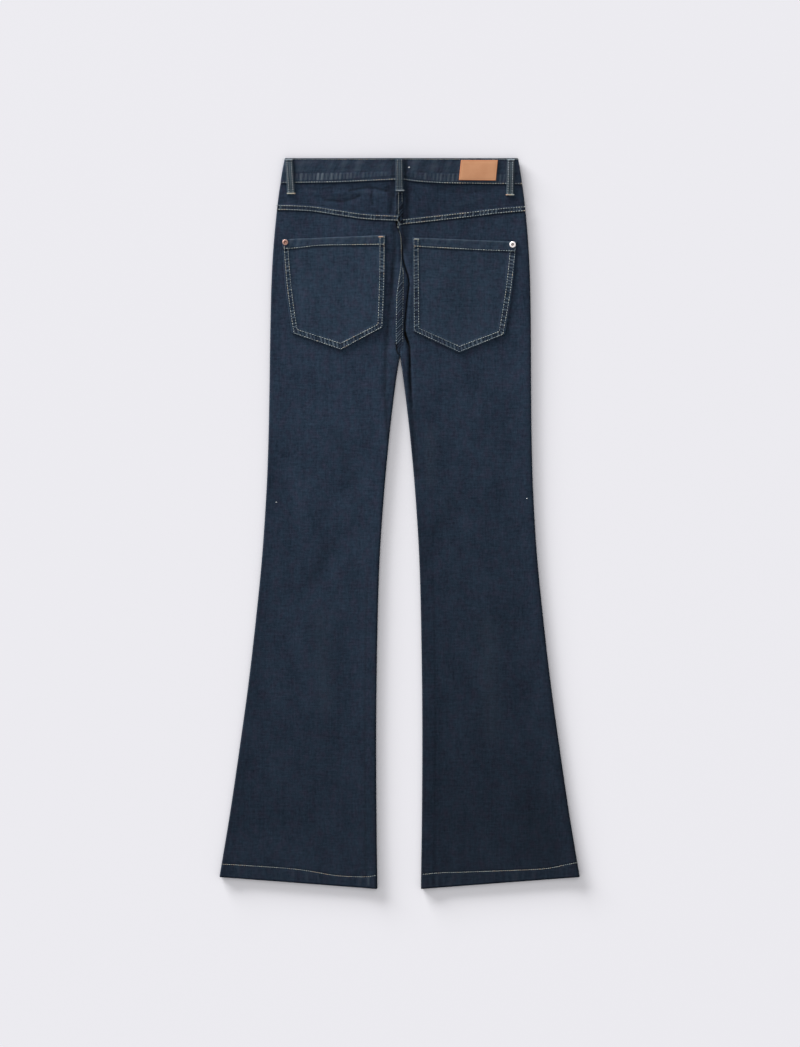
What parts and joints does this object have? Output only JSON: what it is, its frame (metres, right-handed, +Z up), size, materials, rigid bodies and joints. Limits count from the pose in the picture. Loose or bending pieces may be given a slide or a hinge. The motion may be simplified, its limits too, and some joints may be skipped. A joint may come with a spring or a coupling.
{
  "type": "bootcut jeans",
  "caption": "Dark denim bootcut jeans laid flat, back side up, with patch pockets, yoke, belt loops, waist patch and flared legs.",
  "frame": {"origin": "on the surface that the jeans lie on, in the middle of their length and width", "axes": "+X across the garment to the right seen from above, +Y up the garment to the waist, +Z up off the surface through the back side"},
  "size_m": [0.5404, 1.0956, 0.0104],
  "materials": {
    "denim": "dark indigo stretch denim, matt",
    "patch_board": "smooth tan board, matt",
    "rivet_metal": "copper plated, satin",
    "button_metal": "antique brass, satin",
    "thread": "olive gold topstitching thread"
  },
  "bodies": {
    "root": {"back_panel_left": "denim", "back_panel_right": "denim", "front_panel_left": "denim", "front_panel_right": "denim", "yoke_left": "denim", "yoke_right": "denim", "back_pocket_left": "denim", "back_pocket_right": "denim", "waistband": "denim", "belt_loop_centre_back": "denim", "belt_loop_back_left": "denim", "belt_loop_back_right": "denim", "belt_loop_front_left": "denim", "belt_loop_front_right": "denim", "waist_patch": "patch_board", "pocket_rivet_left": "rivet_metal", "pocket_rivet_right": "rivet_metal", "waist_button": "button_metal"}
  },
  "joints": []
}
